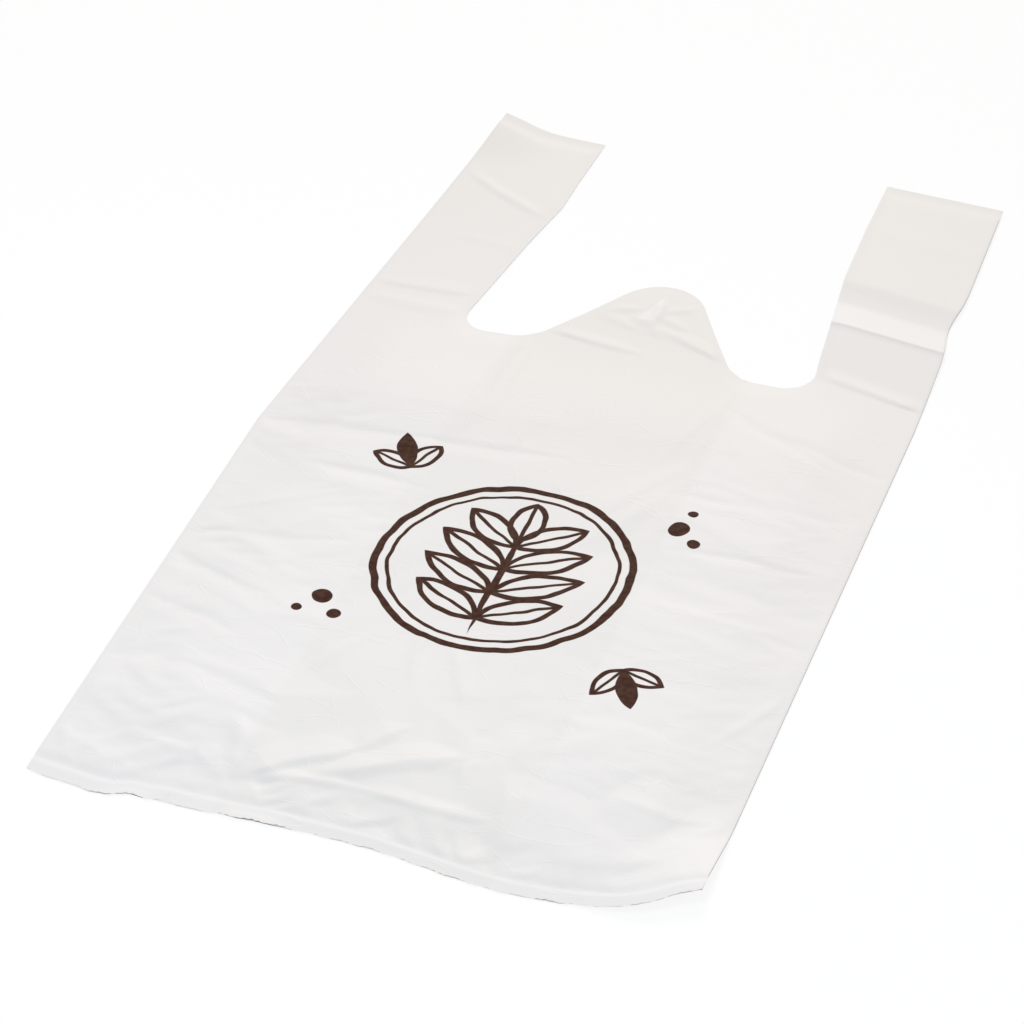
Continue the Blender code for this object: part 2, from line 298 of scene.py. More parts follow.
def smooth_noise(x, y, cell_x, cell_y, seed):
    """Random heights, about -1 to 1, at the knots of a lattice, joined by uniform cubic B-splines.

    Each point is the sum of the 16 knots round it, times weights that depend on where the
    point lies between them. The table of knots repeats far outside the bag.
    """
    knots = np.random.default_rng(seed).uniform(-1.9, 1.9, KNOTS)
    column, row = np.floor(x / cell_x).astype(int), np.floor(y / cell_y).astype(int)
    u, v = x / cell_x - column, y / cell_y - row

    def weights(t):
        before, after = (1 - t) ** 3 / 6, t**3 / 6
        return before, (3 * t**3 - 6 * t**2 + 4) / 6, (-3 * t**3 + 3 * t**2 + 3 * t + 1) / 6, after

    total = np.zeros_like(u)
    for i, across in enumerate(weights(u)):
        for j, along in enumerate(weights(v)):
            total += across * along * knots[(column + i) % KNOTS[0], (row + j) % KNOTS[1]]
    return total


def facets(x, y, length, spacing, angle, seed):
    """Random heights, -1 to 1, at the corners of a lattice of triangles, each left flat.

    The triangles are length long, along the angle, and spacing wide. Smooth noise bends the
    lattice first. Inside a triangle the height is the sum of its corners' heights, each times
    its share, and the shares add up to one.
    """
    turn = math.radians(angle)
    across = (y * math.cos(turn) - x * math.sin(turn)) / spacing
    across = across + 0.30 * smooth_noise(x, y, 2.6 * spacing, 2.6 * spacing, seed + 50)
    along = (x * math.cos(turn) + y * math.sin(turn)) / length + 0.5 * across
    along = along + 0.30 * smooth_noise(x, y, 2.2 * spacing, 2.2 * spacing, seed + 70)
    column, row = np.floor(along).astype(int), np.floor(across).astype(int)
    u, v = along - column, across - row
    knots = np.random.default_rng(seed).uniform(-1, 1, KNOTS)

    def corner(i, j):
        return knots[(column + i) % KNOTS[0], (row + j) % KNOTS[1]]

    lower = corner(0, 0) * (1 - u - v) + corner(1, 0) * u + corner(0, 1) * v
    upper = corner(1, 1) * (u + v - 1) + corner(1, 0) * (1 - v) + corner(0, 1) * (1 - u)
    return np.where(u + v < 1, lower, upper)


probe_x, probe_y = np.meshgrid(np.linspace(0, FACE_WIDTH, 61), np.linspace(0, NOTCH_Y, 73))
probe = facets(probe_x, probe_y, 0.060, 0.036, 38, 11)
print(f"the largest net runs from {probe.min():.2f} to {probe.max():.2f}")

# %% [markdown]
# ## Creases
#
# A crease in film is a line where two flat facets meet. The simplest shape with that look is
# a tent: a ridge line with a straight slope down on each side. A wide side and a narrow side
# give the light a pale facet and a dark one, as a real fold does. A height below zero makes a
# valley. The list names the folds that give the bag its character: the pucker where the
# tongue tore off the pack, the fold across the middle, and the crumple above the hem.

# %% One tent
def tent(x, y, start, end, height, left_side, right_side, tail):
    """Height of a ridge from start to end.

    Its sides are straight slopes, left_side and right_side wide as seen along it. The middle
    half of the ridge is level, and from there it runs down to a point, tail past either end.
    """
    run_x, run_y = end[0] - start[0], end[1] - start[1]
    length = math.hypot(run_x, run_y)
    run_x, run_y = run_x / length, run_y / length
    along = (x - start[0]) * run_x + (y - start[1]) * run_y - length / 2
    across = (y - start[1]) * run_x - (x - start[0]) * run_y
    ends = np.maximum(0, np.abs(along) - length / 4) / (length / 4 + tail)
    return height * np.clip(1 - np.abs(across) / np.where(across > 0, left_side, right_side) - ends, 0, 1)


half_way = tent(0.020, 0.002, (0, 0), (0.040, 0), 0.001, 0.004, 0.004, 0.010)
print(f"half way down a tent 1 mm high it is {float(half_way) * 1000:.1f} mm high")

# %% The creases that give the bag its look, in millimetres on the pattern
# start x, start y, end x, end y, height, width to the left, width to the right, tail
CREASES = (
    # straps
    (2, 490, 60, 462, 0.40, 5, 2.4, 8),
    (0, 386, 56, 388, 0.30, 9, 3, 10),
    (4, 374, 60, 372, 0.25, 5, 8, 12),
    (20, 436, 58, 432, 0.12, 6, 3, 10),
    (226, 380, 312, 358, 0.55, 7, 2.6, 8),
    (238, 500, 296, 492, 0.12, 12, 10, 14),
    # tongue
    (148, 412, 153, 393, 0.70, 5, 7, 3),
    (140, 393, 153, 392, 0.50, 14, 6, 3),
    (153, 402, 168, 409, 0.30, 4, 3, 4),
    (153, 398, 170, 391, 0.35, 5, 4, 4),
    (150, 394, 157, 383, 0.30, 4, 4, 4),
    (142, 402, 127, 398, 0.25, 4, 5, 4),
    (136, 402, 124, 396, 0.25, 5, 5, 8),
    (100, 371, 152, 366, 0.45, 6, 3.0, 12),
    (150, 388, 178, 383, 0.30, 5, 6, 12),
    (166, 384, 202, 371, 0.45, 7, 3.5, 10),
    (122, 392, 145, 385, 0.28, 5, 4, 12),
    # gathers below the tongue
    (95, 356, 97, 296, 0.34, 5, 3.5, 24),
    (102, 350, 106, 306, 0.26, 5, 4, 22),
    (212, 356, 211, 296, 0.34, 4, 5, 26),
    (209, 350, 194, 290, 0.34, 5, 4, 20),
    (172, 350, 167, 300, 0.12, 7, 6, 26),
    # fold of the pack, across the middle
    (2, 261, 84, 268, -0.36, 4, 9, 12),
    (0, 292, 120, 298, 0.50, 30, 32, 30),
    (84, 268, 140, 272, -0.34, 5, 8, 22),
    (40, 235, 90, 233, -0.42, 4, 6, 14),
    (18, 196, 58, 217, 0.34, 5, 4, 12),
    (6, 173, 78, 184, -0.36, 4, 6, 12),
    (0, 157, 38, 140, -0.36, 4, 6, 10),
    (216, 262, 286, 268, -0.20, 6, 5, 20),
    (228, 224, 276, 227, -0.34, 4, 6, 16),
    (217, 331, 262, 306, -0.30, 6, 4, 18),
    (232, 322, 298, 303, -0.22, 5, 4, 16),
    (226, 184, 288, 179, 0.18, 4, 10, 16),
    # below the middle
    (127, 190, 135, 130, 0.22, 4, 6, 18),
    (134, 137, 138, 106, 0.50, 3.5, 5, 10),
    (150, 128, 164, 94, 0.42, 7, 4, 12),
    (176, 150, 182, 92, 0.22, 5, 4, 14),
    (106, 124, 97, 100, 0.35, 6, 4, 12),
    # above the hem
    (45, 83, 85, 71, -0.55, 7, 13, 8),
    (53, 14, 65, 34, 0.60, 10, 5, 5),
    (65, 34, 84, 16, 0.60, 10, 5, 5),
    (80, 52, 86, 24, 0.70, 9, 6, 8),
    (90, 22, 132, 54, 0.90, 13, 4, 6),
    (132, 54, 147, 70, 0.60, 9, 5, 6),
    (122, 34, 178, 63, 0.85, 12, 6, 8),
    (92, 22, 140, 32, 0.60, 6, 3, 6),
    (140, 32, 202, 34, 0.60, 6, 3, 8),
    (176, 74, 182, 46, 0.50, 6, 4, 10),
    (199, 57, 214, 12, 0.90, 14, 7, 6),
    (213, 20, 232, 10, -0.30, 5, 14, 8),
    (232, 22, 276, 26, 0.30, 8, 4, 12),
    (252, 60, 286, 52, 0.30, 5, 4, 12),
    (22, 23, 50, 9, 0.45, 9, 6, 6),
    (8, 17, 32, 4, 0.30, 3, 3, 4),
    (7, 121, 48, 111, -0.40, 5, 8, 8),
    (16, 100, 32, 105, 0.30, 3, 2.5, 4),
    (278, 108, 294, 140, 0.25, 4, 4, 12),
)


def creases(x, y):
    """The tallest tent at each point and the deepest valley, with a third of what the others add.

    The tents stand on points that smooth noise pushes about 1 mm, so no crest on the body is
    quite straight.
    """
    push = 0.0016 * eased((NOTCH_Y - y) / 0.02)
    bent_x = x + push * smooth_noise(x, y, 0.014, 0.014, 31)
    bent_y = y + push * smooth_noise(x, y, 0.014, 0.014, 32)
    heights = np.array([tent(bent_x, bent_y, c[0:2], c[2:4], *c[4:]) for c in np.array(CREASES) / 1000])
    main = np.maximum(heights.max(axis=0), 0) + np.minimum(heights.min(axis=0), 0)
    return main + (heights.sum(axis=0) - main) / 3


print(len(CREASES), "named creases")

# %% Where each kind of crumple is
def crossed(x, y, first, second):
    """The larger of two facet nets, which has a sharp ridge wherever they cross."""
    return np.maximum(facets(x, y, *first), facets(x, y, *second))


def crumple(x, y):
    """Facet nets in metres: large ones near the hem, level ones on the gussets, upright ones between.

    Each net has its length and spacing in metres, its angle and its seed. The right side was
    pulled smoother, so its nets are calmer. Smooth noise makes the small nets patchy. The
    gathers at the hem weld come apart, as a second array.
    """
    inside = np.minimum(x, FACE_WIDTH - x) - GUSSET_DEPTH
    middle = eased(inside / 0.012)
    low = 1 - eased((y - 0.050) / 0.100)
    body = 0.25 + 0.75 * eased((0.320 - y) / 0.050)
    body = body * eased((NOTCH_Y + 0.02 - y) / 0.10)
    calm = 1 - 0.45 * eased((x - 0.195) / 0.030)
    patchy = 0.10 + 0.90 * eased(0.5 + 1.1 * smooth_noise(x, y, 0.040, 0.036, 7))
    side = (1 - middle) * body * calm
    near_hem = crossed(x, y, (0.060, 0.036, 38, 11), (0.050, 0.030, -30, 12)) - 0.35
    small_near_hem = crossed(x, y, (0.022, 0.012, 60, 13), (0.024, 0.010, -15, 21))
    on_gusset = crossed(x, y, (0.062, 0.017, 12, 15), (0.048, 0.014, -16, 16))
    small_on_gusset = crossed(x, y, (0.020, 0.0072, -6, 22), (0.018, 0.0080, 40, 27))
    total = 0.00085 * low * near_hem + 0.00034 * low * calm * small_near_hem * patchy
    total += 0.00021 * side * on_gusset + 0.00024 * side * small_on_gusset * patchy
    total += 0.00034 * middle * body * facets(x, y, 0.075, 0.020, 84, 17)
    total += 0.00020 * middle * body * facets(x, y, 0.030, 0.0100, 70, 20) * patchy
    total += 0.00034 * (0.2 + 0.8 * body) * facets(x, y, 0.120, 0.060, 14, 18)
    at_weld = (0.4 + 0.6 * middle) * (1 - eased((y - 0.014) / 0.024))
    gathers = 0.00065 * at_weld * crossed(x, y, (0.016, 0.0064, 128, 14), (0.014, 0.0060, 48, 26))
    return total, gathers


large, gathers = crumple(probe_x, probe_y)
heights = [float(h) for h in np.round(np.array([large.min(), large.max(), gathers.max()]) * 1000, 2)]
print("crumple's lowest and highest, and the gathers' highest, mm:", heights)

# %% The front layer's relief
def relief(x, y):
    """How far the front stands above the layer below: trapped air, creases and crumple.

    It dies out at the side folds and at the welds, where the layers are held together, and
    most of it at the cut, where the die pressed them. A valley stops before it reaches the
    layer below: it is never deeper than half the trapped air and slack.
    """
    from_side = np.minimum(x, FACE_WIDTH - x)
    above_hem, under_top = y - HEM_WELD_Y - 0.001, TOP_WELD_Y - 0.001 - y
    air = 0.0014 * eased(from_side / 0.060) * eased(np.minimum(y, NOTCH_Y - y) / 0.060)
    large, gathers = crumple(x, y)
    slack = 0.0006 * eased(np.minimum(y, NOTCH_Y + 0.02 - y) / 0.060) + 0.0002
    edge = 0.15 + 0.85 * eased(from_cut(x, y) / 0.012)
    folds = np.maximum(creases(x, y) + large, -0.0001 - 0.5 * (air + slack))
    height = (air + slack) * eased(from_side / 0.040) + folds * eased(from_side / 0.007)
    height = height * eased(above_hem / 0.022)
    height = height + gathers * eased(above_hem / 0.005) * eased(from_side / 0.007)
    return height * eased(under_top / 0.010) * edge


print(f"the front stands up to {relief(probe_x, probe_y).max() * 1000:.1f} mm above the layer below")

# %% [markdown]
# ## The stack of layers
#
# Along each side four layers lie on each other: back, two gusset walls and front. In the
# middle there are two, so the front lies lower there, and its step down shows as a faint
# line along the gusset's inner fold. At a weld all the layers are pressed into one.

# %% Height of a layer, and its place in the frame
BACK, GUSSET_BACK, GUSSET_FRONT, FRONT = range(4)
MIDDLE_LEVEL = 2.1  # the front's level in the middle, where two layers less lie under it
MIDDLE_X, MIDDLE_Y = 0.1500, 0.2660  # the frame's origin on the pattern


def pressed(x, y):
    """How far the layers are pressed into one: 1 at a weld, and 0 from 6 mm inside it.

    It is nearly 1 in the free skirts outside the welds, and at the die's cut.
    """
    hem = np.where(y < HEM_WELD_Y, 1 - 0.12 * eased((HEM_WELD_Y - 0.001 - y) / 0.004),
                   1 - eased((y - HEM_WELD_Y - 0.001) / 0.006))
    top = np.where(y > TOP_WELD_Y, 1 - 0.2 * eased((y - TOP_WELD_Y - 0.001) / 0.003),
                   1 - eased((TOP_WELD_Y - 0.001 - y) / 0.006))
    cut = 0.85 * (1 - eased(from_cut(x, y) / 0.006))
    return np.maximum(np.maximum(hem, top), cut)


def skirt_ruffle(x, y, level):
    """Waves of the free film outside the hem weld: here and there the layers gape a little.

    One wave serves all the layers, times their level, so that they can't cross.
    """
    free = eased((HEM_WELD_Y - 0.001 - y) / 0.005)
    wave = eased(0.35 + 0.9 * smooth_noise(x, y, 0.017, 0.02, 23))
    return free * (0.00001 + 0.00016 * wave) * level


def laid(x, y, level):
    """Places of film points: the plan, and the height of their layer.

    Level runs from 0, the back, to 3, the front. The height is the level times the pitch,
    mixed with the pressed height of a weld, and the relief and the ruffle are added to it.
    """
    plan_x, plan_y = plan(x, y)
    inside = np.minimum(x, FACE_WIDTH - x) - GUSSET_DEPTH
    on_gusset = 1 - eased((inside + 0.001) / 0.006)
    front = eased(level - GUSSET_FRONT)
    sunk = MIDDLE_LEVEL + (FRONT - MIDDLE_LEVEL) * on_gusset
    height = (level * (1 - front) + np.minimum(level, sunk) * front) * LAYER_PITCH
    squeeze = pressed(x, y)
    height = height * (1 - squeeze) + (0.0004 * eased(y / HEM_WELD_Y) + 0.00003 * level) * squeeze
    height = height + relief(x, y) * front + skirt_ruffle(x, y, level)
    return np.stack([plan_x - MIDDLE_X, plan_y - MIDDLE_Y, 0.0001 + lift(x, y) + height], axis=-1)


backs = laid(probe_x, probe_y, np.full(probe_x.shape, float(BACK)))[..., 2]
fronts = laid(probe_x, probe_y, np.full(probe_x.shape, float(FRONT)))[..., 2]
gap = (fronts - backs) * 1000
print(f"from the back to the front: {gap.min():.2f} to {gap.max():.2f} mm")

# %% [markdown]
# ## Rows and columns
#
# The grid is finer where the film bends sharply: rows bunch at the foot of the notch, at the
# two welds and at the fold of the right strap. The body and the straps share their columns
# along the sides, so that the patches meet point for point.

# %% Rows up the bag
def spread(start, end, step):
    """Evenly spaced values from start to end, both included, about one step apart."""
    return np.linspace(start, end, max(2, round((end - start) / step) + 1))


CELL = 0.0016
HEM_ROWS = np.array([
    0, 0.0012, 0.0024, 0.0036, 0.0047, 0.0056, 0.0062, 0.0068, 0.0074, 0.0080, 0.0090, 0.0102])
BODY_ROWS = np.concatenate([HEM_ROWS, spread(0.0115, NOTCH_Y, CELL)])
NOTCH_ROWS = NOTCH_Y + NOTCH_RADIUS * (1 - np.cos(np.radians(np.arange(0, 91, 8.0))))
TOP_ROWS = BAG_LENGTH - np.array([
    0.0115, 0.0098, 0.0082, 0.0070, 0.0060, 0.0050, 0.0043, 0.0036, 0.0028, 0.0018, 0.0009, 0])
FOLD_ROWS = spread(0.4035, 0.4175, 0.0006)
STRAP_ROWS = np.concatenate([
    NOTCH_ROWS, spread(NOTCH_Y + NOTCH_RADIUS + 0.0016, FOLD_ROWS[0] - 0.0012, CELL * 1.1), FOLD_ROWS,
    spread(FOLD_ROWS[-1] + 0.0014, TOP_ROWS[0] - 0.0016, CELL * 1.2), TOP_ROWS])
print(len(BODY_ROWS), "rows in the body,", len(STRAP_ROWS), "in a strap")


# %% Columns round the tube
FOLD_RADIUS = LAYER_PITCH / 2
TURN = np.linspace(0, math.pi, 6)[1:-1]


def leg(start, end, step, level):
    """One layer's columns from one x to the other: their x and their level.

    A column falls on each edge of the notches, where the patches above begin.
    """
    marks = np.array([NOTCH_X, FOOT_X, FACE_WIDTH - FOOT_X, FACE_WIDTH - NOTCH_X])
    low, high = min(start, end), max(start, end)
    stops = np.concatenate([[low], marks[(marks > low + 0.001) & (marks < high - 0.001)], [high]])
    x = np.unique(np.concatenate([spread(a, b, step) for a, b in zip(stops[:-1], stops[1:])]))
    if end < start:
        x = x[::-1]
    return x, np.full(len(x), float(level))


def fold(x, side, level):
    """The half circle that joins a layer to the one below it, by the sine and the cosine.

    side is 1 for a fold to the right and -1 for one to the left.
    """
    return x + side * FOLD_RADIUS * np.sin(TURN), level - 0.5 + 0.5 * np.cos(TURN)


def film_loop():
    """The tube's section once round from the front's left side: x, level, and distance along the film."""
    left, right = FOLD_RADIUS, FACE_WIDTH - FOLD_RADIUS
    left_pleat, right_pleat = GUSSET_DEPTH - FOLD_RADIUS, FACE_WIDTH - GUSSET_DEPTH + FOLD_RADIUS

    def rising(columns):
        return columns[0][::-1], columns[1][::-1]

    runs = (
        leg(left, right, CELL, FRONT), fold(right, 1, FRONT),
        leg(right, right_pleat, 0.010, GUSSET_FRONT), fold(right_pleat, -1, GUSSET_FRONT),
        leg(right_pleat, right, 0.010, GUSSET_BACK), fold(right, 1, GUSSET_BACK),
        leg(right, left, 0.008, BACK), rising(fold(left, -1, GUSSET_BACK)),
        leg(left, left_pleat, 0.010, GUSSET_BACK), rising(fold(left_pleat, 1, GUSSET_FRONT)),
        leg(left_pleat, left, 0.010, GUSSET_FRONT), rising(fold(left, -1, FRONT)),
        (np.array([left]), np.array([float(FRONT)])),
    )
    x, level = (np.concatenate(part) for part in zip(*runs))
    step = np.hypot(np.diff(x), np.diff(level) * LAYER_PITCH)
    return x, level, np.concatenate([[0.0], np.cumsum(step)])


LOOP_X, LOOP_LEVEL, LOOP_ALONG = film_loop()
print(len(LOOP_X), "columns round the tube,", round(LOOP_ALONG[-1] * 1000), "mm of film")

# %% [markdown]
# ## Patches
#
# The body is one grid, all the way round. Each strap layer is a run of the same columns,
# carried on upwards and squeezed sideways to end at the cut. The tongue's columns stay
# upright, and its rows are scaled copies of its outline.

# %% Grids of pattern points for each patch
def body_patch():
    """All the columns by the body's rows: x, y, level and distance round the film."""
    x, y = np.meshgrid(LOOP_X, BODY_ROWS)
    return x, y, np.broadcast_to(LOOP_LEVEL, x.shape), np.broadcast_to(LOOP_ALONG, x.shape)


def runs_where(chosen):
    """The unbroken runs of columns for which chosen is true, as arrays of column numbers."""
    numbers = np.flatnonzero(chosen)
    return np.split(numbers, np.flatnonzero(np.diff(numbers) > 1) + 1)


def strap_patches(is_left):
    """One grid for each run of a strap's columns, squeezed so that the last column lies on the cut."""
    edge = LEFT_STRAP_EDGE if is_left else RIGHT_STRAP_EDGE
    from_outside = LOOP_X if is_left else FACE_WIDTH - LOOP_X
    for run in runs_where(from_outside <= NOTCH_X + 1e-6):
        outside, y = np.meshgrid(from_outside[run], STRAP_ROWS)
        pull = NOTCH_X - strap_width(y, edge)
        outside = outside - pull * eased((outside - NOTCH_X + 0.045) / 0.045)
        x = outside if is_left else FACE_WIDTH - outside
        yield x, y, np.broadcast_to(LOOP_LEVEL[run], x.shape), np.broadcast_to(LOOP_ALONG[run], x.shape)


def tongue_patches():
    """The tongue's front and back: each column runs from the notch's floor up to the outline above it."""
    across = (LOOP_X >= FOOT_X - 1e-6) & (LOOP_X <= FACE_WIDTH - FOOT_X + 1e-6)
    for level in (FRONT, BACK):
        for run in runs_where(across & (LOOP_LEVEL == level)):
            x, share = np.meshgrid(LOOP_X[run], np.linspace(0, 1, 40))
            y = NOTCH_Y + share * (tongue_top(x) - NOTCH_Y)
            yield x, y, np.broadcast_to(LOOP_LEVEL[run], x.shape), np.broadcast_to(LOOP_ALONG[run], x.shape)


patches = [body_patch(), *strap_patches(True), *strap_patches(False), *tongue_patches()]
print(len(patches), "patches,", sum(p[0].size for p in patches), "points")

# %% Join the patches into one sheet
def grid_corners(rows, columns, first):
    """Four corners of every cell of a grid, counterclockwise, for points numbered row by row from first."""
    row, column = np.meshgrid(np.arange(rows - 1), np.arange(columns - 1), indexing="ij")
    low = first + row * columns + column
    return np.stack([low, low + 1, low + columns + 1, low + columns], axis=-1).reshape(-1, 4)


def joined(grids):
    """All the grids' points and cells, joined where they meet.

    Points in the same place, to a thousandth of a millimetre, become one, and a cell that
    loses a corner is a triangle.
    """
    firsts = np.cumsum([0] + [g[0].size for g in grids[:-1]])
    corners = np.concatenate([grid_corners(*g[0].shape, f) for g, f in zip(grids, firsts)])
    x, y, level, along = (np.concatenate([g[k].ravel() for g in grids]) for k in range(4))
    places = laid(x, y, level)
    rounded = np.round(places * 1e6).astype(np.int64)
    _, keep, joined_to = np.unique(rounded, axis=0, return_index=True, return_inverse=True)
    faces = joined_to.reshape(-1)[corners]
    distinct = faces != np.roll(faces, 1, axis=1)
    flat = np.stack([along, y], axis=-1)[corners]
    return x[keep], y[keep], level[keep], places[keep], faces, distinct, flat


sheet_x, sheet_y, sheet_level, places, faces, distinct, flat = joined(patches)
usable = distinct.sum(axis=1) >= 3
faces, distinct, flat = faces[usable], distinct[usable], flat[usable]
triangles = int((distinct.sum(axis=1) == 3).sum())
print(len(places), "points,", len(faces), "cells,", triangles, "of them triangles")


# %% The sheet as a mesh
def sheet_object(name):
    """The film as one mesh, with its place in its points and the flat tube in metres as its UV map."""
    mesh = bpy.data.meshes.new(name)
    sizes = distinct.sum(axis=1)
    mesh.vertices.add(len(places))
    mesh.vertices.foreach_set("co", places.astype(np.float32).ravel())
    mesh.loops.add(int(sizes.sum()))
    mesh.loops.foreach_set("vertex_index", faces[distinct].astype(np.int32))
    mesh.polygons.add(len(faces))
    mesh.polygons.foreach_set("loop_start", (np.cumsum(sizes) - sizes).astype(np.int32))
    mesh.update(calc_edges=True)
    uv_map = mesh.uv_layers.new(name="flat film in metres")
    uv_map.data.foreach_set("uv", flat[distinct].astype(np.float32).ravel())
    mesh.shade_smooth()
    thing = bpy.data.objects.new(name, mesh)
    bpy.context.scene.collection.objects.link(thing)
    return thing


bag_film = sheet_object("bag_film")
sheet_size = places.max(axis=0) - places.min(axis=0)
print("sheet, mm:", np.round(sheet_size * 1000, 1), "solid:", np.round((CAD_HIGH - CAD_LOW) * 1000, 1))

# %% [markdown]
# ## White blown film
#
# The film is high-density polythene with white pigment, about 15 micrometres thick. It is
# blown as a bubble, so it has a silky shine, neither glossy nor matt. It lets a little light
# through: two layers look slightly greyer than four. Where it was pressed, at the weld, it
# turns whiter. Paler colour is also painted on as highlight, on the lit band of the right
# strap's fold and on the pucker below the tongue's tip. The print is brown ink laid by a
# rubber plate, thin enough to show pores.

# %% Colours and one helper for nodes
def linear(code):
    """An sRGB hex colour as linear red, green, blue and alpha, by the sRGB curve."""
    parts = np.array([int(code[i:i + 2], 16) for i in (1, 3, 5)]) / 255
    curve = np.where(parts <= 0.04045, parts / 12.92, ((parts + 0.055) / 1.055) ** 2.4)
    return (*curve, 1.0)


def add_node(tree, kind, inputs=None, **settings):
    """A node of that kind with its settings.

    inputs gives its sockets, by name or number, a value or the socket that feeds them.
    """
    node = tree.nodes.new(kind)
    for name, value in settings.items():
        setattr(node, name, value)
    for socket, value in (inputs or {}).items():
        if isinstance(value, bpy.types.NodeSocket):
            tree.links.new(value, node.inputs[socket])
        else:
            node.inputs[socket].default_value = value
    return node


# %% Numbers on the points that the material reads
inside = np.minimum(sheet_x, FACE_WIDTH - sheet_x) - GUSSET_DEPTH
layers = 1 - eased((inside + 0.0015) / 0.003)

# The hem weld is a thin pale line
weld_line_and_highlight = 0.35 * (1 - eased((np.abs(sheet_y - HEM_WELD_Y) - 0.0006) / 0.0010))

# A painted highlight on the pucker below the tongue's tip is a triangle, down from its point
down = (0.4125 - sheet_y) / 0.020
within = 0.0015 + 0.0040 * down - np.abs(sheet_x - 0.1490 + 0.0035 * down)
painted_pucker_highlight = eased(within / 0.0012) * eased(down / 0.08) * eased((1 - down) / 0.08)

# A painted highlight: a pale band across the right strap's fold, from the crest on
up_strap = sheet_y + FOLD_SLANT * (sheet_x - FOLD_X)
painted_fold_highlight = eased((up_strap - 0.4115) / 0.0020) * eased((0.4370 - up_strap) / 0.0110)
painted_fold_highlight = painted_fold_highlight * eased((sheet_x - 0.213) / 0.0305)
on_front = sheet_level > GUSSET_FRONT
# The painted highlights join the weld's pale line, on the front layer only
weld_line_and_highlight = np.maximum(weld_line_and_highlight, np.maximum(0.5 * painted_pucker_highlight, 0.45 * painted_fold_highlight) * on_front)

for name, values in (("layers", layers), ("weld_line_and_highlight", weld_line_and_highlight)):
    attribute = bag_film.data.attributes.new(name, "FLOAT", "POINT")
    attribute.data.foreach_set("value", values.astype(np.float32))
print("share of the points over four layers:", round(float(layers.mean()), 2))


# %% [markdown]
# ## The print, drawn with distances
#
# The print is made of plain shapes: rings, leaves and dots. Each shape is worked out as how
# far inside its line a point is, in millimetres, and the largest of those numbers wins, which
# joins the shapes. The design is 120 mm across on the flat film, and a little noise moves its
# points by up to a millimetre, as if a hand had drawn it.

# %% Short names for the nodes of the film's material
film = bpy.data.materials.new("white_hdpe_blown_film_with_brown_print")
film.use_nodes = True
film_tree = film.node_tree


def calculate(operation, a, b=0.0, c=0.0):
    """One sum on numbers, done by a math node."""
    return add_node(film_tree, "ShaderNodeMath", {0: a, 1: b, 2: c}, operation=operation).outputs[0]


def on_vectors(operation, a, b=(0.0, 0.0, 0.0), c=(0.0, 0.0, 0.0), output="Vector"):
    """One sum on vectors, done by a vector math node."""
    node = add_node(film_tree, "ShaderNodeVectorMath", {0: a, 1: b, 2: c}, operation=operation)
    return node.outputs[output]


def ramp(value, start, end, first=0.0, last=1.0):
    """first where the value is below start, last where it is above end, and a straight ramp between."""
    inputs = {"Value": value, "From Min": start, "From Max": end, "To Min": first, "To Max": last}
    return add_node(film_tree, "ShaderNodeMapRange", inputs).outputs["Result"]


def noise(point, size, detail, output="Fac"):
    """Smooth noise whose clouds are about size millimetres wide."""
    inputs = {"Vector": point, "Scale": 1 / size, "Detail": detail}
    return add_node(film_tree, "ShaderNodeTexNoise", inputs).outputs[output]


def blend(share, first, second):
    """The first colour, mixed with that share of the second."""
    inputs = {"Factor": share, "A": first, "B": second}
    return add_node(film_tree, "ShaderNodeMix", inputs, data_type="RGBA").outputs["Result"]


def attribute_of_points(name):
    """A number that was stored on the mesh's points."""
    return add_node(film_tree, "ShaderNodeAttribute", attribute_name=name).outputs["Fac"]


# %% Rings, leaves and dots
def distance(point, centre):
    """Distance in millimetres from a point of the print."""
    return on_vectors("DISTANCE", point, (*centre, 0.0), output="Value")


def dot(point, centre, radius):
    """A filled circle: its radius less the distance from its centre."""
    return calculate("SUBTRACT", radius, distance(point, centre))


def ring(point, centre, radius, width):
    """A circle's line: half its width less the distance from the circle."""
    off = calculate("ABSOLUTE", calculate("SUBTRACT", distance(point, centre), radius))
    return calculate("SUBTRACT", width / 2, off)


def leaf(point, base, tip, half_width, line):
    """A leaf, which is where two large circles overlap.

    It is filled, or drawn as a line with a rib if line gives the line's width.
    """
    base, tip = np.array(base, float), np.array(tip, float)
    length, middle = np.hypot(*(tip - base)), (base + tip) / 2
    side = np.array([base[1] - tip[1], tip[0] - base[0]]) / length
    reach = (length**2 / 4 - half_width**2) / (2 * half_width)
    far = calculate("MAXIMUM", distance(point, middle + side * reach), distance(point, middle - side * reach))
    inside = calculate("SUBTRACT", reach + half_width, far)
    if not line:
        return inside
    across = on_vectors("DOT_PRODUCT", point, (*side, 0.0), output="Value")
    off_rib = calculate("ABSOLUTE", calculate("SUBTRACT", across, float(middle @ side)))
    rib = calculate("MINIMUM", calculate("SUBTRACT", line * 0.35, off_rib), calculate("SUBTRACT", inside, 0.8))
    return calculate("MAXIMUM", calculate("SUBTRACT", line / 2, calculate("ABSOLUTE", inside)), rib)


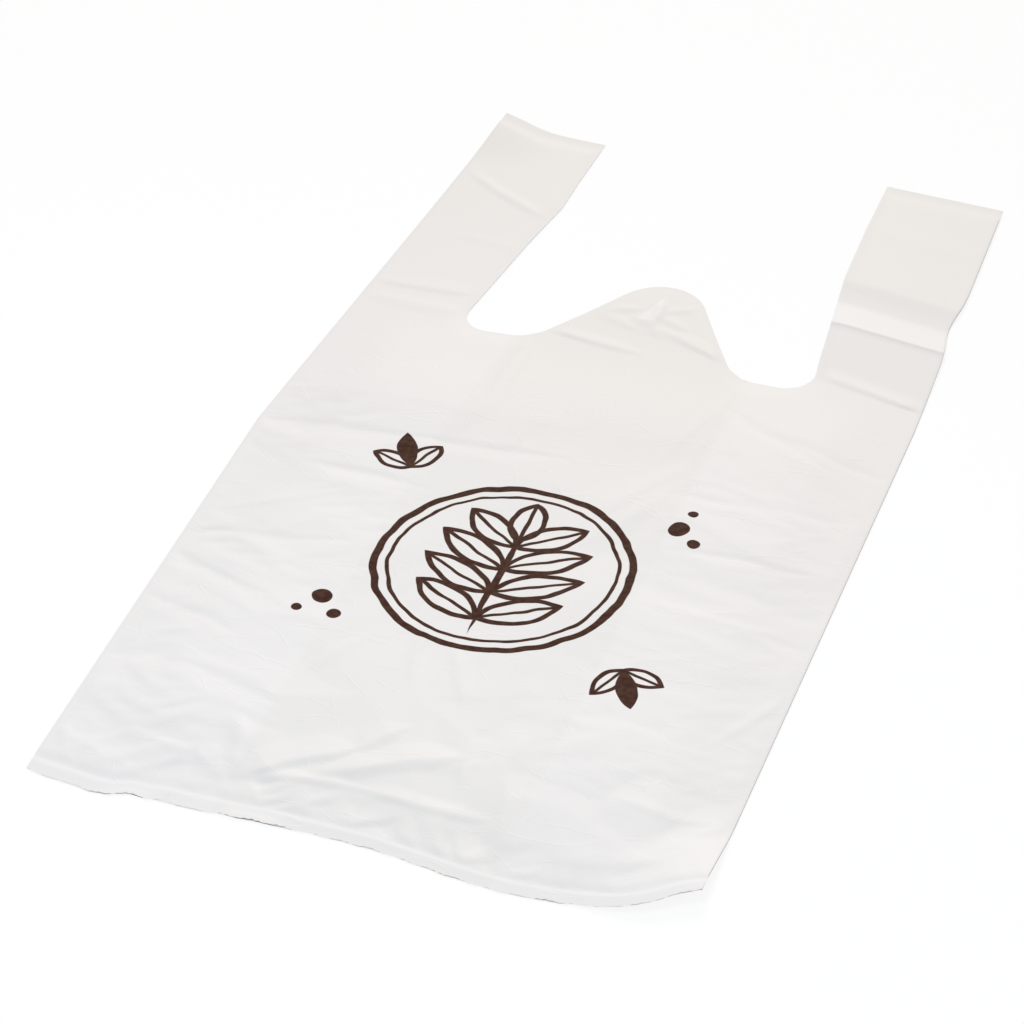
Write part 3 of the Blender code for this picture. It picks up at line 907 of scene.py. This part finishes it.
# %% The design
def print_design(place):
    """How far inside the ink a place is: a sprig in a double ring, two sprouts and some dots.

    Taking x without its sign draws the sprig's leaves on both sides at once.
    """
    sides = on_vectors("ABSOLUTE", on_vectors("MULTIPLY", place, (1.0, 0.0, 0.0)))
    mirrored = on_vectors("MULTIPLY_ADD", place, (0.0, 1.0, 0.0), sides)
    shapes = [ring(place, (0, 0), 58.0, 3.6), ring(place, (0, 0), 52.0, 1.9)]
    for foot, tip in ((-37, (33, -19)), (-19, (36, 0)), (-1, (34, 19)), (16, (27, 36))):
        shapes.append(leaf(mirrored, (0, foot), tip, 7.5, 2.8))
    shapes.append(leaf(place, (0, 21), (0, 48), 7.5, 2.8))
    shapes.append(leaf(place, (0, -49), (0, 34), 1.9, None))
    for x, y, turn in ((-66, 58, 25), (74, -52, 205)):
        for opening, length, line in ((-50, 20, 2.3), (0, 26, None), (50, 20, 2.3)):
            angle = math.radians(turn + 90 + opening)
            tip = (x + length * math.cos(angle), y + length * math.sin(angle))
            shapes.append(leaf(place, (x, y), tip, 5.0, line))
    for x, y, radius in ((67, 50, 5.0), (77, 42, 3.2), (70, 63, 2.6)):
        shapes.append(dot(place, (x, y), radius))
    for x, y, radius in ((-70, -44, 5.0), (-60, -54, 3.4), (-78, -55, 2.6)):
        shapes.append(dot(place, (x, y), radius))
    ink = shapes[0]
    for shape in shapes[1:]:
        ink = calculate("MAXIMUM", ink, shape)
    return ink


PRINT_MIDDLE = (150.0, 188.0, 0.0)
flat_uv = add_node(film_tree, "ShaderNodeUVMap", uv_map="flat film in metres").outputs[0]
in_mm = on_vectors("MULTIPLY", flat_uv, (1000.0, 1000.0, 1000.0))
wobble = on_vectors("SUBTRACT", noise(in_mm, 14, 1.0, "Color"), (0.5, 0.5, 0.5))
place = on_vectors("MULTIPLY_ADD", wobble, (3.0, 3.0, 0.0), on_vectors("SUBTRACT", in_mm, PRINT_MIDDLE))
inked = ramp(print_design(place), -0.15, 0.15)
print(len(film_tree.nodes), "nodes for the print")

# %% [markdown]
# ## Fine creases in the film
#
# The smallest creases of handled film are too fine for the mesh, so they are a bump in the
# material: thin crests along the borders of random cells, in patches. Their cells are 12 to
# 60 mm long, as on the real film, but the crests are drawn about 1 mm wide, coarser than
# real, because a finer line would be lost between the picture's pixels.

# %% Nets of fine creases
def crease_net(point, length, breadth, width, angle):
    """Thin crests, 0 to 1, along the borders of random cells of that length and breadth in millimetres."""
    inputs = {"Vector": point, "Angle": math.radians(angle)}
    turned = add_node(film_tree, "ShaderNodeVectorRotate", inputs, rotation_type="Z_AXIS").outputs[0]
    at = on_vectors("MULTIPLY", turned, (1 / length, 1 / breadth, 0.0))
    cells = add_node(film_tree, "ShaderNodeTexVoronoi", {"Vector": at, "Scale": 1.0},
                     feature="DISTANCE_TO_EDGE", voronoi_dimensions="2D")
    return ramp(cells.outputs["Distance"], 0.0, width, 1.0, 0.0)


def in_patches(net, size, low, high, shift):
    """The net where a cloud of that size in millimetres is thick, and nothing where it is thin."""
    cloud = noise(on_vectors("ADD", in_mm, (shift, 0.0, 0.0)), size, 1.0)
    return calculate("MULTIPLY", net, ramp(cloud, low, high))


bent = on_vectors("MULTIPLY_ADD", noise(in_mm, 22, 2.0, "Color"), (9.0, 9.0, 0.0), in_mm)
level_net = in_patches(crease_net(bent, 60, 12, 0.055, -5), 22, 0.50, 0.62, 0)
wide_net = in_patches(crease_net(bent, 28, 13, 0.050, 35), 20, 0.52, 0.64, 500)
small_net = in_patches(crease_net(bent, 12, 6, 0.110, -20), 30, 0.55, 0.66, 900)
net = calculate("MULTIPLY_ADD", small_net, 0.4, calculate("ADD", level_net, wide_net))
crinkle = calculate("MULTIPLY_ADD", noise(in_mm, 5, 2.0), 0.8, net)
height_up = add_node(film_tree, "ShaderNodeSeparateXYZ", {0: in_mm}).outputs["Y"]
crinkle = calculate("MULTIPLY", crinkle, ramp(height_up, 330.0, 390.0, 1.0, 0.12))

# %% Film and ink
# High-density polythene with white pigment, and flexographic ink, as sRGB colours
two_layers = linear("#f0ede8")
four_layers = linear("#f2efeb")
weld_and_highlight_white = linear("#faf9f8")
thin_ink, full_ink = linear("#4c2f20"), linear("#38160a")

film_colour = blend(attribute_of_points("layers"), two_layers, four_layers)
# The weld's pale line, and the painted highlights on the strap's fold and the tongue's pucker
film_colour = blend(attribute_of_points("weld_line_and_highlight"), film_colour, weld_and_highlight_white)
ink_colour = blend(ramp(noise(in_mm, 3.0, 3.0), 0.35, 0.65), thin_ink, full_ink)
bump = add_node(film_tree, "ShaderNodeBump", {"Height": crinkle, "Distance": 0.00004, "Strength": 1.0})
shader = film_tree.nodes["Principled BSDF"]
film_tree.links.new(blend(inked, film_colour, ink_colour), shader.inputs["Base Color"])
film_tree.links.new(bump.outputs["Normal"], shader.inputs["Normal"])
film_tree.links.new(ramp(inked, 0.0, 1.0, 0.35, 0.05), shader.inputs["Specular IOR Level"])
shader.inputs["Roughness"].default_value = 0.55
shader.inputs["IOR"].default_value = 1.54
bag_film.data.materials.append(film)
print(len(film_tree.nodes), "nodes in the film's material")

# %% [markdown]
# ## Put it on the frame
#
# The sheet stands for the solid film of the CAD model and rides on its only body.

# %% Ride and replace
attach(bag_film, "root")
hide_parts("carrier_bag")

# %% [markdown]
# ## Table, light and camera
#
# The table is a plain white sweep. Its material is lit as any surface is, and for the camera
# and for reflections a little of its own white is added, so that it stays white and still
# takes the bag's shadow. A broad lamp far behind the bag and a little to the left grazes the
# creases and draws them. A small cool lamp stands over the lower half, and a pale world
# fills the rest. The cool lamp and the slightly warm world together give the white film its
# faint shift from warm at the straps to cool at the hem.

# %% White table
table_mesh = bpy.data.meshes.new("white_table")
reach, drop = 6, -0.0003  # metres: the table lies a little below the film, so that the two don't touch
corners = [(-reach, -reach, drop), (reach, -reach, drop), (reach, reach, drop), (-reach, reach, drop)]
table_mesh.from_pydata(corners, [], [(0, 1, 2, 3)])
table = bpy.data.objects.new("white_table", table_mesh)
bpy.context.scene.collection.objects.link(table)
white = bpy.data.materials.new("white_studio_paper")
white.use_nodes = True
tree = white.node_tree
paper_shader = tree.nodes["Principled BSDF"]
paper_shader.inputs["Base Color"].default_value = linear("#f7f7f7")
paper_shader.inputs["Roughness"].default_value = 0.9
paper_shader.inputs["Specular IOR Level"].default_value = 0.1
path = add_node(tree, "ShaderNodeLightPath")
camera_ray, glossy_ray = path.outputs["Is Camera Ray"], path.outputs["Is Glossy Ray"]
clear_ray = path.outputs["Is Transmission Ray"]
seen = add_node(tree, "ShaderNodeMath", {0: camera_ray, 1: glossy_ray}, operation="ADD").outputs[0]
seen = add_node(tree, "ShaderNodeMath", {0: seen, 1: clear_ray}, operation="ADD").outputs[0]
share = add_node(tree, "ShaderNodeMath", {0: seen, 1: 0.85}, operation="MULTIPLY", use_clamp=True).outputs[0]
glow = add_node(tree, "ShaderNodeEmission", {"Color": (1, 1, 1, 1), "Strength": 1.03}).outputs[0]
mixed = add_node(tree, "ShaderNodeMixShader", {0: share, 1: paper_shader.outputs[0], 2: glow})
tree.links.new(mixed.outputs[0], tree.nodes["Material Output"].inputs["Surface"])
table_mesh.materials.append(white)

# %% World and lamps
world = bpy.data.worlds.new("pale_studio")
bpy.context.scene.world = world
world.use_nodes = True
tree = world.node_tree
tree.nodes.clear()
path = add_node(tree, "ShaderNodeLightPath")
room = add_node(tree, "ShaderNodeBackground", {"Color": (1, 0.984, 0.962, 1), "Strength": 0.424})
backdrop = add_node(tree, "ShaderNodeBackground", {"Color": (1, 1, 1, 1), "Strength": 1.0})
camera_ray = path.outputs["Is Camera Ray"]
mixed = add_node(tree, "ShaderNodeMixShader", {0: camera_ray, 1: room.outputs[0], 2: backdrop.outputs[0]})
add_node(tree, "ShaderNodeOutputWorld", {"Surface": mixed.outputs[0]})


def stand(thing, right, up, back, place):
    """Link an object whose own axes are right, up and back, as seen from behind it, at that place."""
    columns = np.eye(4)
    columns[:3] = np.stack([right, up, back, place], axis=1)
    thing.matrix_world = Matrix(columns.tolist())
    bpy.context.scene.collection.objects.link(thing)


def area_lamp(name, place, target, size, power, colour):
    """A square lamp of that size in metres and power in watts, turned to face the target."""
    data = bpy.data.lights.new(name, "AREA")
    data.size, data.energy, data.color = size, power, linear(colour)[:3]
    back = np.array(place, float) - np.array(target, float)
    back /= np.linalg.norm(back)
    right = np.cross((0, 0, 1), back)
    right /= np.linalg.norm(right)
    stand(bpy.data.objects.new(name, data), right, np.cross(back, right), back, place)


area_lamp("key", (-1.9, 8.07, 5.3), (0, 0, 0), 2.6, 480, "#fff6ec")
area_lamp("fill", (-0.10, -0.35, 0.80), (-0.05, -0.25, 0), 0.5, 2.75, "#d6e7ff")

# %% Camera at the photograph's angle
camera_data = bpy.data.cameras.new("camera")
camera_data.lens, camera_data.sensor_width = 140.625, 36.0
camera_data.clip_start, camera_data.clip_end = 0.05, 50.0
camera = bpy.data.objects.new("camera", camera_data)
right, up, back = (0.94130, 0.33637, -0.02853), (-0.18814, 0.59290, 0.78299), (0.28029, -0.73166, 0.62138)
stand(camera, right, up, back, (0.50910, -1.39511, 1.15526))
bpy.context.scene.camera = camera
bpy.context.scene.view_settings.view_transform = "Standard"
print(f"camera {math.degrees(math.asin(back[2])):.0f} degrees above the table, lens {camera_data.lens:.0f} mm")

# %% Print the solid's box and finish
print("solid", [tuple(round(v, 4) for v in c) for c in cad_box])
